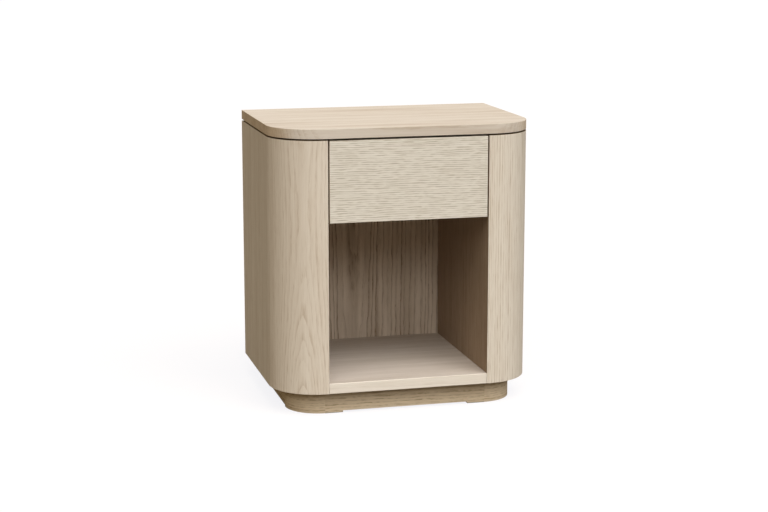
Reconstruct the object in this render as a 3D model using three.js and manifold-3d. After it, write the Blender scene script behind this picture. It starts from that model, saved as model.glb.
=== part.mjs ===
// A bedside cabinet with one drawer over an open compartment, on a set-back plinth.
// Two hollow columns with rounded front corners carry the top; the drawer has no handle and
// is pulled by its lower edge, on three-member ball-bearing runners.
// Millimetres. X runs to the right, Y to the back, Z up; the origin is on the floor, in the middle.
import * as THREE from "three";
import { mergeVertices } from "three/addons/utils/BufferGeometryUtils.js";
import Module from "manifold-3d";

const wasm = await Module();
wasm.setup();

// Cabinet
const cabinetWidth = 500;
const cabinetDepth = 346;
const cabinetHeight = 538;
const cornerRadius = 92;
const columnFlatWidth = 5;
const jointGap = 0.2;
const cutOverrun = 2;
const weldDistance = 0.0001;

// Boards
const topThickness = 18;
const topEdgeEase = 1.2;
const shadowGap = 3;
const shadowGapInset = 12;
const sideThickness = 16;
const capThickness = 16;
const floorThickness = 19.5;
const dividerThickness = 16;
const backThickness = 8;
const backRebateWidth = 8;

// Plinth
const plinthHeight = 43.5;
const plinthSideInset = 30;
const plinthFrontInset = 24;
const plinthBackInset = 20;
const plinthThickness = 16;
const plinthCornerRadius = 64;
const plinthReliefHeight = 2.4;
const gussetThickness = 16;
const gussetReach = 45;
const glideThickness = 1;
const glideLength = 34;
const glideInset = 0.6;
const cornerFootLift = 0.5;

// Drawer
const drawerFrontHeight = 151.5;
const drawerFrontThickness = 18;
const drawerFrontEase = 1;
const drawerTopDrop = 0.5;
const drawerSideGap = 2.8;
const drawerRearGap = 3;
const fingerGripDepth = 22;
const fingerGripOverlap = 7;
const boxThickness = 12;
const boxBottomClearance = 5;
const boxTopClearance = 6;
const boxBottomThickness = 6;
const boxBottomLift = 8;
const grooveDepth = 5;

// Runners
const runnerHeight = 45;
const runnerThickness = 12.7;
const runnerSetback = 2;
const runnerRearClearance = 18;
const steelThickness = 1;
const ballDiameter = 3.5;
const ballClearance = 0.15;
const ballPitch = 20;
const cageLength = 90;
const cageThickness = 0.4;
const stopTabHeight = 14;

// Screws
const runnerScrewRadius = 1.75;
const runnerScrewHeadRadius = 3.4;
const runnerScrewHeadHeight = 0.9;
const runnerScrewLength = 11;
const runnerScrewFrontOffset = 12;
const runnerScrewRearOffset = 30;
const boxScrewHeadHeight = 2;
const boxScrewLength = 10;
const boxScrewOffset = 45;
const frontScrewRadius = 2;
const frontScrewHeadRadius = 4;
const frontScrewHeadHeight = 2.4;
const frontScrewLength = 22;
const frontScrewEndMargin = 37.9;
const backScrewRadius = 1.75;
const backScrewHeadRadius = 3.75;
const backScrewLength = 30;
const backScrewMargin = 60;
const topScrewRadius = 2.25;
const topScrewHeadRadius = 4.5;
const topScrewHeadHeight = 2.4;
const topScrewLength = 30;
const topScrewSideMargin = 40;
const screwTipLength = 3;
const screwHoleClearance = 0.25;

// Shapes of the runner's section, as angles about the ball centres, in degrees
const cabinetLipAngle = 20;
const middleLipAngle = 25;
const middleBendAngle = 30;
const drawerTroughStartAngle = 220;
const drawerTroughEndAngle = 335;
const cageTiltAngle = 20;
const cageGripShare = 0.8;

// Facets
const cornerSegments = 24;
const bendSegments = 6;
const screwSegments = 12;
const ballSegments = 8;
const ballRings = 5;

// Places that several pieces share
const columnWidth = cornerRadius + columnFlatWidth;
const halfWidth = cabinetWidth / 2;
const frontFace = -cabinetDepth / 2;
const backFace = cabinetDepth / 2;
const backPanelFront = backFace - backThickness;
const boardBack = backPanelFront - jointGap;
const openingHalf = halfWidth - columnWidth;
const bodyBottom = plinthHeight;
const bodyTop = cabinetHeight - topThickness - shadowGap;
const carcassTopUnderside = bodyTop - capThickness;
const nicheFloor = bodyBottom + floorThickness;
const drawerFrontTop = bodyTop - drawerTopDrop;
const drawerFrontBottom = drawerFrontTop - drawerFrontHeight;
const drawerFrontBack = frontFace + drawerFrontThickness;
const dividerUnderside = drawerFrontBottom + fingerGripOverlap;
const dividerTop = dividerUnderside + dividerThickness;
const runnerFront = drawerFrontBack + runnerSetback;
const runnerBack = backPanelFront - runnerRearClearance;
const boxHalfWidth = openingHalf - runnerThickness - 2 * jointGap;
const boxFront = drawerFrontBack + jointGap;
const boxBack = runnerBack;
const boxBottomEdge = dividerTop + boxBottomClearance;
const boxTopEdge = carcassTopUnderside - boxTopClearance;
const runnerLevel = (boxBottomEdge + boxTopEdge) / 2;
const plinthHalfWidth = halfWidth - plinthSideInset;
const plinthFront = frontFace + plinthFrontInset;
const plinthBack = backFace - plinthBackInset;
const plinthTop = plinthHeight - jointGap;
const plinthArcX = plinthHalfWidth - plinthCornerRadius;
const plinthArcY = plinthFront + plinthCornerRadius;
const railFoot = glideThickness + jointGap;
const railRelief = railFoot + plinthReliefHeight;

// Materials
const finish = (color, roughness, metalness = 0) =>
  new THREE.MeshStandardMaterial({ color, roughness, metalness });
const ashVeneer = finish("#cfc0aa", 0.6);
const drawerVeneer = finish("#d3c7b2", 0.65);
const backVeneer = finish("#c8b8a2", 0.65);
const plinthOak = finish("#a8977b", 0.65);
const boxWood = finish("#d8c8ac", 0.6);
const spacerBlack = finish("#1d1915", 0.8);
const glideFelt = finish("#7f8577", 0.95);
const zincSteel = finish("#b9bcbf", 0.35, 0.9);
const cageSteel = finish("#8f9396", 0.4, 0.9);
const screwSteel = finish("#a9a69c", 0.4, 0.9);

const radians = THREE.MathUtils.degToRad;

function solidOf(geometry) {
  const bare = geometry.index ? geometry.toNonIndexed() : geometry.clone();
  bare.deleteAttribute("normal");
  bare.deleteAttribute("uv");
  const merged = mergeVertices(bare, weldDistance);
  return new wasm.Manifold(
    new wasm.Mesh({
      numProp: 3,
      vertProperties: merged.attributes.position.array,
      triVerts: new Uint32Array(merged.index.array),
    }),
  );
}

function geometryOf(solid) {
  const mesh = solid.getMesh();
  const indexed = new THREE.BufferGeometry();
  indexed.setAttribute("position", new THREE.BufferAttribute(mesh.vertProperties, 3));
  indexed.setIndex(new THREE.BufferAttribute(mesh.triVerts, 1));
  const flat = indexed.toNonIndexed();
  flat.computeVertexNormals();
  return flat;
}

function cut(geometry, cutters) {
  const left = cutters.reduce((solid, cutter) => solid.subtract(solidOf(cutter)), solidOf(geometry));
  return geometryOf(left);
}

function join(geometries) {
  return geometryOf(geometries.map(solidOf).reduce((all, next) => all.add(next)));
}

function mesh(name, geometry, material) {
  const made = new THREE.Mesh(geometry, material);
  made.name = name;
  return made;
}

// A box between two corners.
function block(low, high) {
  const size = high.map((value, i) => value - low[i]);
  const geometry = new THREE.BoxGeometry(...size);
  return geometry.translate(...low.map((value, i) => value + size[i] / 2));
}

// An outline in plan, from one level up to another.
function plate(outline, bottom, top) {
  const geometry = new THREE.ExtrudeGeometry(outline, {
    depth: top - bottom,
    bevelEnabled: false,
    curveSegments: cornerSegments,
  });
  return geometry.translate(0, 0, bottom);
}

// The same with its edges eased all round.
function easedPlate(outline, thickness, ease) {
  return new THREE.ExtrudeGeometry(outline, {
    depth: thickness - 2 * ease,
    bevelEnabled: true,
    bevelThickness: ease,
    bevelSize: ease,
    bevelOffset: -ease,
    bevelSegments: 2,
    curveSegments: cornerSegments,
  }).translate(0, 0, ease);
}

// A section in X and Z, swept straight from one depth back to another.
function sweepBack(section, front, back) {
  const geometry = new THREE.ExtrudeGeometry(section, { depth: back - front, bevelEnabled: false });
  return geometry.rotateX(Math.PI / 2).translate(0, back, 0);
}

function polygon(points) {
  return new THREE.Shape(points.map(([x, y]) => new THREE.Vector2(x, y)));
}

function rod(radius, length) {
  return new THREE.CylinderGeometry(radius, radius, length, screwSegments);
}

// Plan of the cabinet: square at the back, rounded at the two front corners.
function roundedFrontOutline(half, front, back, radius) {
  const outline = new THREE.Shape();
  outline.moveTo(-half, back);
  outline.lineTo(-half, front + radius);
  outline.absarc(-half + radius, front + radius, radius, Math.PI, 1.5 * Math.PI, false);
  outline.lineTo(half - radius, front);
  outline.absarc(half - radius, front + radius, radius, 1.5 * Math.PI, 2 * Math.PI, false);
  outline.lineTo(half, back);
  outline.closePath();
  return outline;
}

function topPanel() {
  const outline = roundedFrontOutline(halfWidth, frontFace, backFace, cornerRadius);
  const geometry = easedPlate(outline, topThickness, topEdgeEase);
  geometry.translate(0, 0, cabinetHeight - topThickness);
  return mesh("top_panel", cut(geometry, topScrewHoles()), ashVeneer);
}

const topScrewX = openingHalf - topScrewSideMargin;
const topScrewY = (drawerFrontBack + boardBack) / 2;

// One screw on each side holds the top down, through the carcass top and the black board.
function topScrewHoles() {
  const radius = topScrewRadius + screwHoleClearance;
  const end = carcassTopUnderside + topScrewLength;
  return [-topScrewX, topScrewX].map((x) =>
    rod(radius, 2 * topScrewLength)
      .rotateX(Math.PI / 2)
      .translate(x, topScrewY, end + screwHoleClearance - topScrewLength),
  );
}

function topScrew(side, name) {
  const geometry = domedScrew(
    topScrewRadius,
    topScrewHeadRadius,
    topScrewHeadHeight,
    topScrewLength,
  );
  geometry.rotateX(-Math.PI / 2);
  geometry.translate(side * topScrewX, topScrewY, carcassTopUnderside - jointGap);
  return mesh(name, geometry, screwSteel);
}

// The thin black board that holds the top off the body and leaves the shadow line.
function shadowGapPlate() {
  const outline = roundedFrontOutline(
    halfWidth - shadowGapInset,
    frontFace + shadowGapInset,
    backFace - shadowGapInset,
    cornerRadius - shadowGapInset,
  );
  const geometry = plate(outline, bodyTop + jointGap, bodyTop + shadowGap - jointGap);
  return mesh("shadow_gap_plate", cut(geometry, topScrewHoles()), spacerBlack);
}

// The side of a column, bent round its front corner to a mitre at the opening.
// A rebate at the back takes the back panel.
function outerSide(side, name) {
  const arcX = halfWidth - cornerRadius;
  const arcY = frontFace + cornerRadius;
  const innerFace = halfWidth - sideThickness;
  const outline = new THREE.Shape();
  outline.moveTo(openingHalf, frontFace);
  outline.lineTo(arcX, frontFace);
  outline.absarc(arcX, arcY, cornerRadius, -Math.PI / 2, 0, false);
  outline.lineTo(halfWidth, backFace);
  outline.lineTo(innerFace + backRebateWidth, backFace);
  outline.lineTo(innerFace + backRebateWidth, backPanelFront);
  outline.lineTo(innerFace, backPanelFront);
  outline.lineTo(innerFace, arcY);
  outline.absarc(arcX, arcY, cornerRadius - sideThickness, 0, -Math.PI / 2, true);
  outline.lineTo(openingHalf, frontFace + sideThickness);
  outline.closePath();
  const reach = sideThickness + cutOverrun;
  const mitre = polygon([
    [openingHalf - cutOverrun, frontFace - cutOverrun],
    [openingHalf + reach, frontFace + reach],
    [openingHalf - cutOverrun, frontFace + reach],
  ]);
  const geometry = cut(plate(outline, bodyBottom, bodyTop), [
    plate(mitre, bodyBottom - cutOverrun, bodyTop + cutOverrun),
  ]);
  return mesh(name, mirrored(geometry, side), ashVeneer);
}

// Turns a piece modelled on the right into its twin on the left.
function mirrored(geometry, side) {
  if (side > 0) return geometry;
  const twin = geometry.index ? geometry.toNonIndexed() : geometry.clone();
  twin.scale(-1, 1, 1);
  const position = twin.getAttribute("position");
  for (let i = 0; i < position.count; i += 3) {
    const second = [position.getX(i + 1), position.getY(i + 1), position.getZ(i + 1)];
    position.setXYZ(i + 1, position.getX(i + 2), position.getY(i + 2), position.getZ(i + 2));
    position.setXYZ(i + 2, ...second);
  }
  twin.computeVertexNormals();
  return twin;
}

// Runner screw places, measured along the runner from its front end.
const cabinetScrewPlaces = [
  runnerFront + runnerScrewFrontOffset,
  runnerBack - runnerScrewRearOffset,
];
const boxScrewPlaces = [runnerFront + boxScrewOffset, runnerBack - boxScrewOffset];
const backScrewLevels = [bodyBottom + backScrewMargin, bodyTop - backScrewMargin];
const backScrewX = openingHalf + sideThickness / 2;

// The wall between the column and the opening, with pilot holes for the runner and the back.
function innerSide(side, name) {
  const mitreShift = jointGap * Math.SQRT2;
  const outline = polygon([
    [openingHalf, frontFace + mitreShift],
    [openingHalf + sideThickness, frontFace + sideThickness + mitreShift],
    [openingHalf + sideThickness, boardBack],
    [openingHalf, boardBack],
  ]);
  const runnerHoles = cabinetScrewPlaces.map((y) =>
    rod(runnerScrewRadius + screwHoleClearance, 2 * runnerScrewLength)
      .rotateZ(Math.PI / 2)
      .translate(openingHalf, y, runnerLevel),
  );
  const backHoles = backScrewLevels.map((z) =>
    rod(backScrewRadius + screwHoleClearance, 2 * backScrewLength).translate(backScrewX, backFace, z),
  );
  const board = plate(outline, bodyBottom, bodyTop);
  const geometry = cut(board, [...runnerHoles, ...backHoles]);
  return mesh(name, mirrored(geometry, side), ashVeneer);
}

// The board that closes a column at its top or bottom.
function columnEnd(side, name, bottom) {
  const outline = roundedFrontOutline(
    halfWidth - sideThickness - jointGap,
    frontFace + sideThickness + jointGap,
    boardBack,
    cornerRadius - sideThickness - jointGap,
  );
  const innerEnd = openingHalf + sideThickness + jointGap;
  const rest = block(
    [-cabinetWidth, -cabinetDepth, bottom - cutOverrun],
    [innerEnd, cabinetDepth, bottom + capThickness + cutOverrun],
  );
  const geometry = cut(plate(outline, bottom, bottom + capThickness), [rest]);
  return mesh(name, mirrored(geometry, side), ashVeneer);
}

// A board between the two inner sides.
function openingBoard(front, bottom, top) {
  const half = openingHalf - jointGap;
  return block([-half, front, bottom], [half, boardBack, top]);
}

function nicheFloorBoard() {
  return mesh("niche_floor", openingBoard(frontFace, bodyBottom, nicheFloor), ashVeneer);
}

// The drawer's floor and the niche's ceiling, set back so that fingers reach behind the front.
function divider() {
  const geometry = openingBoard(drawerFrontBack + fingerGripDepth, dividerUnderside, dividerTop);
  return mesh("drawer_divider", geometry, ashVeneer);
}

function carcassTop() {
  const board = openingBoard(drawerFrontBack + drawerRearGap, carcassTopUnderside, bodyTop);
  return mesh("carcass_top", cut(board, topScrewHoles()), ashVeneer);
}

function backPanel() {
  const half = halfWidth - sideThickness + backRebateWidth - jointGap;
  const board = block(
    [-half, backPanelFront, bodyBottom + jointGap],
    [half, backFace - jointGap, bodyTop - jointGap],
  );
  const holes = backScrewLevels.flatMap((z) =>
    [-backScrewX, backScrewX].flatMap((x) => [
      rod(backScrewRadius + screwHoleClearance, 2 * backThickness + cutOverrun)
        .translate(x, backFace, z),
      countersink().translate(x, backFace, z),
    ]),
  );
  return mesh("back_panel", cut(board, holes), backVeneer);
}

// The seat of a countersunk head, clear of it all round, with its mouth past the face.
function countersink() {
  const grow = screwHoleClearance * Math.SQRT2;
  const radius = backScrewHeadRadius + grow;
  const profile = [
    [0, -radius],
    [radius + cutOverrun, cutOverrun],
    [0, cutOverrun],
  ];
  return lathe(profile);
}

function lathe(profile) {
  return new THREE.LatheGeometry(profile.map(([r, h]) => new THREE.Vector2(r, h)), screwSegments);
}

// Head at the origin, flush with it, and point towards -Y.
function countersunkScrew() {
  return lathe([
    [0, -backScrewLength],
    [backScrewRadius, -backScrewLength + screwTipLength],
    [backScrewRadius, backScrewRadius - backScrewHeadRadius],
    [backScrewHeadRadius, 0],
    [0, 0],
  ]);
}

// Head on the side of +Y, seated at the origin, and point towards -Y.
function domedScrew(radius, headRadius, headHeight, length) {
  return lathe([
    [0, -length],
    [radius, -length + screwTipLength],
    [radius, 0],
    [headRadius, 0],
    [headRadius, headHeight / 2],
    [headRadius / 2, headHeight],
    [0, headHeight],
  ]);
}

function backScrew(side, end) {
  const geometry = countersunkScrew().translate(
    side * backScrewX,
    backFace - jointGap,
    backScrewLevels[end],
  );
  const name = `back_screw_${end ? "top" : "bottom"}_${side < 0 ? "left" : "right"}`;
  return mesh(name, geometry, screwSteel);
}

function carcass() {
  const group = new THREE.Group();
  group.add(topPanel(), shadowGapPlate(), carcassTop());
  group.add(divider(), nicheFloorBoard(), backPanel());
  for (const side of [-1, 1]) {
    const hand = side < 0 ? "left" : "right";
    group.add(outerSide(side, `outer_side_${hand}`));
    group.add(innerSide(side, `inner_side_${hand}`));
    group.add(columnEnd(side, `column_cap_${hand}`, carcassTopUnderside));
    group.add(columnEnd(side, `column_base_${hand}`, bodyBottom));
    group.add(topScrew(side, `top_screw_${hand}`));
    group.add(backScrew(side, 0), backScrew(side, 1));
  }
  return group;
}

// A quarter ring of the plinth, which stands a little lower than the rails and acts as a foot.
function plinthCorner(side, name) {
  const outline = new THREE.Shape();
  outline.absarc(plinthArcX, plinthArcY, plinthCornerRadius, -Math.PI / 2, 0, false);
  outline.absarc(plinthArcX, plinthArcY, plinthCornerRadius - plinthThickness, 0, -Math.PI / 2, true);
  outline.closePath();
  return mesh(name, mirrored(plate(outline, cornerFootLift, plinthTop), side), plinthOak);
}

// The front rail stands on its two ends and is relieved between them.
function plinthFrontRail() {
  const half = plinthArcX - jointGap;
  const footEnd = half - glideLength;
  const profile = polygon([
    [-half, railFoot],
    [-footEnd, railFoot],
    [-footEnd, railRelief],
    [footEnd, railRelief],
    [footEnd, railFoot],
    [half, railFoot],
    [half, plinthTop],
    [-half, plinthTop],
  ]);
  const geometry = sweepBack(profile, plinthFront, plinthFront + plinthThickness);
  return mesh("plinth_front_rail", geometry, plinthOak);
}

function plinthBackRail() {
  const half = plinthHalfWidth - plinthThickness - jointGap;
  const geometry = block(
    [-half, plinthBack - plinthThickness, railRelief],
    [half, plinthBack, plinthTop],
  );
  return mesh("plinth_back_rail", geometry, plinthOak);
}

// A side rail stands on its rear end and is relieved up to the front corner.
function plinthSide(side, name) {
  const footStart = plinthBack - glideLength;
  const profile = polygon([
    [plinthArcY + jointGap, railRelief],
    [footStart, railRelief],
    [footStart, railFoot],
    [plinthBack, railFoot],
    [plinthBack, plinthTop],
    [plinthArcY + jointGap, plinthTop],
  ]);
  const rail = new THREE.ExtrudeGeometry(profile, { depth: plinthThickness, bevelEnabled: false });
  rail.rotateX(Math.PI / 2).rotateZ(Math.PI / 2).translate(plinthHalfWidth - plinthThickness, 0, 0);
  return mesh(name, mirrored(rail, side), plinthOak);
}

// Flat corner pieces inside the plinth's top edge, screwed up into the columns.
function frontGusset(side, name) {
  const inner = plinthCornerRadius - plinthThickness - jointGap;
  const outline = new THREE.Shape();
  outline.moveTo(plinthArcX - gussetReach, plinthArcY - inner);
  outline.lineTo(plinthArcX, plinthArcY - inner);
  outline.absarc(plinthArcX, plinthArcY, inner, -Math.PI / 2, 0, false);
  outline.lineTo(plinthArcX + inner, plinthArcY + gussetReach);
  outline.closePath();
  return mesh(name, mirrored(plate(outline, plinthTop - gussetThickness, plinthTop), side), boxWood);
}

function backGusset(side, name) {
  const x = plinthHalfWidth - plinthThickness - jointGap;
  const y = plinthBack - plinthThickness - jointGap;
  const leg = gussetReach + plinthCornerRadius - plinthThickness;
  const outline = polygon([
    [x, y],
    [x - leg, y],
    [x, y - leg],
  ]);
  return mesh(name, mirrored(plate(outline, plinthTop - gussetThickness, plinthTop), side), boxWood);
}

function frontGlide(side, name) {
  const outerEnd = plinthArcX - jointGap;
  const geometry = block(
    [outerEnd - glideLength, plinthFront + glideInset, 0],
    [outerEnd, plinthFront + plinthThickness - glideInset, glideThickness],
  );
  return mesh(name, mirrored(geometry, side), glideFelt);
}

function backGlide(side, name) {
  const geometry = block(
    [plinthHalfWidth - plinthThickness + glideInset, plinthBack - glideLength, 0],
    [plinthHalfWidth - glideInset, plinthBack - glideInset, glideThickness],
  );
  return mesh(name, mirrored(geometry, side), glideFelt);
}

function plinth() {
  const group = new THREE.Group();
  group.add(plinthFrontRail(), plinthBackRail());
  for (const side of [-1, 1]) {
    const hand = side < 0 ? "left" : "right";
    group.add(plinthCorner(side, `plinth_corner_${hand}`));
    group.add(plinthSide(side, `plinth_side_${hand}`));
    group.add(frontGusset(side, `plinth_gusset_front_${hand}`));
    group.add(backGusset(side, `plinth_gusset_back_${hand}`));
    group.add(frontGlide(side, `glide_front_${hand}`));
    group.add(backGlide(side, `glide_back_${hand}`));
  }
  return group;
}

const grooveBottom = boxBottomEdge + boxBottomLift;
const grooveTop = grooveBottom + boxBottomThickness + 2 * jointGap;

// The groove that the drawer's bottom slides into, all round the inside of the box.
function bottomGroove() {
  const reach = boxThickness - grooveDepth;
  return block(
    [-boxHalfWidth + reach, boxFront + reach, grooveBottom],
    [boxHalfWidth - reach, boxBack - reach, grooveTop],
  );
}

function drawerFront() {
  const half = openingHalf - drawerSideGap;
  const outline = polygon([
    [-half, drawerFrontBottom],
    [half, drawerFrontBottom],
    [half, drawerFrontTop],
    [-half, drawerFrontTop],
  ]);
  const board = easedPlate(outline, drawerFrontThickness, drawerFrontEase);
  board.rotateX(Math.PI / 2).translate(0, drawerFrontBack, 0);
  return mesh("drawer_front", cut(board, frontScrewHoles()), drawerVeneer);
}

const frontScrewX = boxHalfWidth - boxThickness - frontScrewEndMargin;

function frontScrewHoles() {
  return [-frontScrewX, frontScrewX].map((x) =>
    rod(frontScrewRadius + screwHoleClearance, 2 * frontScrewLength)
      .translate(x, boxFront + boxThickness, runnerLevel),
  );
}

function boxEnd(name, front) {
  const half = boxHalfWidth - boxThickness - jointGap;
  const board = block([-half, front, boxBottomEdge], [half, front + boxThickness, boxTopEdge]);
  return mesh(name, cut(board, [bottomGroove(), ...frontScrewHoles()]), boxWood);
}

function boxSide(side, name) {
  const board = block(
    [boxHalfWidth - boxThickness, boxFront, boxBottomEdge],
    [boxHalfWidth, boxBack, boxTopEdge],
  );
  const screwHoles = boxScrewPlaces.map((y) =>
    rod(runnerScrewRadius + screwHoleClearance, 2 * boxScrewLength)
      .rotateZ(Math.PI / 2)
      .translate(boxHalfWidth, y, runnerLevel),
  );
  return mesh(name, mirrored(cut(board, [bottomGroove(), ...screwHoles]), side), boxWood);
}

function boxBottom() {
  const reach = boxThickness - grooveDepth + jointGap;
  const geometry = block(
    [-boxHalfWidth + reach, boxFront + reach, grooveBottom + jointGap],
    [boxHalfWidth - reach, boxBack - reach, grooveTop - jointGap],
  );
  return mesh("drawer_bottom", geometry, boxWood);
}

function frontScrew(side, name) {
  const geometry = domedScrew(
    frontScrewRadius,
    frontScrewHeadRadius,
    frontScrewHeadHeight,
    frontScrewLength,
  ).translate(side * frontScrewX, boxFront + boxThickness + jointGap, runnerLevel);
  return mesh(name, geometry, screwSteel);
}

function drawer() {
  const group = new THREE.Group();
  group.add(drawerFront(), boxBottom());
  group.add(boxEnd("drawer_box_front", boxFront));
  group.add(boxEnd("drawer_box_back", boxBack - boxThickness));
  for (const side of [-1, 1]) {
    const hand = side < 0 ? "left" : "right";
    group.add(boxSide(side, `drawer_box_${hand}`));
    group.add(frontScrew(side, `drawer_front_screw_${hand}`));
  }
  return group;
}

// The runner's section. u runs from the cabinet side to the drawer, v up from the runner's middle.
// The outer balls lie between the cabinet and middle members, the inner balls between the
// middle and drawer members. Every raceway is a bend of one radius about its balls.
const raceRadius = ballDiameter / 2 + ballClearance + steelThickness / 2;
const outerBall = [
  steelThickness + ballClearance + ballDiameter / 2,
  runnerHeight / 2 - steelThickness / 2 - raceRadius,
];
const innerBall = [
  outerBall[0] + 2 * raceRadius * Math.cos(radians(middleBendAngle)),
  outerBall[1] - 2 * raceRadius * Math.sin(radians(middleBendAngle)),
];

function bend(centre, radius, from, to) {
  const steps = Math.max(2, Math.round((bendSegments * Math.abs(to - from)) / 90));
  return Array.from({ length: steps + 1 }, (_, i) => {
    const angle = radians(from + ((to - from) * i) / steps);
    return [centre[0] + radius * Math.cos(angle), centre[1] + radius * Math.sin(angle)];
  });
}

// A strip of even thickness along the line of a bent sheet, mirrored below the middle.
function sheetSection(upperHalf, thickness, side) {
  const lower = upperHalf.map(([u, v]) => [u, -v]).reverse();
  const line = [...upperHalf, ...lower].filter(
    (p, i, all) => !i || Math.hypot(p[0] - all[i - 1][0], p[1] - all[i - 1][1]) > thickness / 100,
  );
  const edge = (sign) =>
    line.map((p, i) => {
      const before = line[Math.max(0, i - 1)];
      const after = line[Math.min(line.length - 1, i + 1)];
      const into = direction(before, i ? p : after);
      const out = direction(i < line.length - 1 ? p : before, after);
      const normal = [-(into[1] + out[1]), into[0] + out[0]];
      const stretch = 1 / (1 + into[0] * out[0] + into[1] * out[1]);
      const offset = (sign * thickness) / 2;
      return [p[0] + normal[0] * stretch * offset, p[1] + normal[1] * stretch * offset];
    });
  const ring = [...edge(1), ...edge(-1).reverse()];
  return polygon(ring.map(([u, v]) => [-side * u, v]));
}

function direction(from, to) {
  const length = Math.hypot(to[0] - from[0], to[1] - from[1]);
  return [(to[0] - from[0]) / length, (to[1] - from[1]) / length];
}

const memberBack = runnerBack - steelThickness - ballClearance;

function cabinetMember(side) {
  const line = bend(outerBall, raceRadius, cabinetLipAngle, 180);
  const channel = sweepBack(sheetSection(line, steelThickness, side), runnerFront, runnerBack);
  const tabReach = runnerThickness - steelThickness / 2;
  const tab = block(
    [0, runnerBack - steelThickness, -stopTabHeight / 2],
    [tabReach, runnerBack, stopTabHeight / 2],
  );
  const holes = cabinetScrewPlaces.map((y) =>
    rod(runnerScrewRadius + screwHoleClearance, 4 * steelThickness)
      .rotateZ(Math.PI / 2)
      .translate(0, y, 0),
  );
  return cut(join([channel, mirrored(tab, -side)]), holes);
}

function middleMember(side) {
  const overInner = bend(innerBall, raceRadius, middleLipAngle, 180 - middleBendAngle);
  const underOuter = bend(outerBall, raceRadius, -middleBendAngle, -90);
  const section = sheetSection([...overInner, ...underOuter], steelThickness, side);
  return sweepBack(section, runnerFront, memberBack);
}

function drawerMember(side) {
  const trough = bend(innerBall, raceRadius, drawerTroughStartAngle, drawerTroughEndAngle);
  const web = [runnerThickness - steelThickness / 2, trough[trough.length - 1][1]];
  const section = sheetSection([...trough, web], steelThickness, side);
  const channel = sweepBack(section, runnerFront, memberBack);
  const holes = boxScrewPlaces.map((y) =>
    rod(runnerScrewRadius + screwHoleClearance, 4 * steelThickness)
      .rotateZ(Math.PI / 2)
      .translate(-side * runnerThickness, y, 0),
  );
  return cut(channel, holes);
}

// A thin strip with a row of balls along its upper and lower edge.
function ballCage(section, ball, side) {
  const middle = (runnerFront + runnerBack) / 2;
  const strip = sweepBack(section, middle - cageLength / 2, middle + cageLength / 2);
  const count = Math.floor((cageLength - ballDiameter - 2 * cageThickness) / ballPitch) + 1;
  const first = middle - ((count - 1) * ballPitch) / 2;
  const balls = Array.from({ length: count }, (_, i) => first + i * ballPitch).flatMap((y) =>
    [-ball[1], ball[1]].map((v) =>
      new THREE.SphereGeometry(ballDiameter / 2, ballSegments, ballRings)
        .translate(-side * ball[0], y, v),
    ),
  );
  return join([strip, ...balls]);
}

function outerCage(side) {
  const web = (steelThickness + outerBall[0] - steelThickness / 2) / 2;
  const grip = outerBall[0] + (cageGripShare * ballDiameter) / 2;
  const line = [
    [grip, outerBall[1]],
    [web, outerBall[1]],
  ];
  return ballCage(sheetSection(line, cageThickness, side), outerBall, side);
}

function innerCage(side) {
  const troughEdge =
    innerBall[0] + (raceRadius + steelThickness / 2) * Math.cos(radians(drawerTroughStartAngle));
  const web = (outerBall[0] + steelThickness / 2 + troughEdge) / 2;
  const drop = (innerBall[0] - web) * Math.tan(radians(cageTiltAngle));
  const line = [
    [innerBall[0], innerBall[1]],
    [web, innerBall[1] - drop],
  ];
  return ballCage(sheetSection(line, cageThickness, side), innerBall, side);
}

function cabinetScrew(side, y) {
  const geometry = domedScrew(
    runnerScrewRadius,
    runnerScrewHeadRadius,
    runnerScrewHeadHeight,
    runnerScrewLength,
  );
  const seat = steelThickness + jointGap / 2;
  return geometry.rotateZ((side * Math.PI) / 2).translate(-side * seat, y, 0);
}

function boxScrew(side, y) {
  const geometry = domedScrew(
    runnerScrewRadius,
    runnerScrewHeadRadius,
    boxScrewHeadHeight,
    boxScrewLength,
  );
  const seat = runnerThickness - steelThickness - jointGap;
  return geometry.rotateZ((-side * Math.PI) / 2).translate(-side * seat, y, 0);
}

// One runner, in a frame whose origin is on the inner side's face, at the runner's level.
function runner(side) {
  const hand = side < 0 ? "left" : "right";
  const group = new THREE.Group();
  group.position.set(side * (openingHalf - jointGap), 0, runnerLevel);
  group.add(mesh(`runner_cabinet_member_${hand}`, cabinetMember(side), zincSteel));
  group.add(mesh(`runner_middle_member_${hand}`, middleMember(side), zincSteel));
  group.add(mesh(`runner_drawer_member_${hand}`, drawerMember(side), zincSteel));
  group.add(mesh(`ball_cage_outer_${hand}`, outerCage(side), cageSteel));
  group.add(mesh(`ball_cage_inner_${hand}`, innerCage(side), cageSteel));
  ["front", "back"].forEach((end, i) => {
    const cabinetName = `runner_screw_${end}_${hand}`;
    const boxName = `box_screw_${end}_${hand}`;
    group.add(mesh(cabinetName, cabinetScrew(side, cabinetScrewPlaces[i]), screwSteel));
    group.add(mesh(boxName, boxScrew(side, boxScrewPlaces[i]), screwSteel));
  });
  return group;
}

const cabinet = new THREE.Group();
cabinet.add(carcass(), plinth(), drawer(), runner(-1), runner(1));

export default cabinet;
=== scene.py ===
"""The looks of a bedside cabinet with one drawer over an open niche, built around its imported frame."""
import math

import bpy
from mathutils import Matrix, Vector


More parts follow.
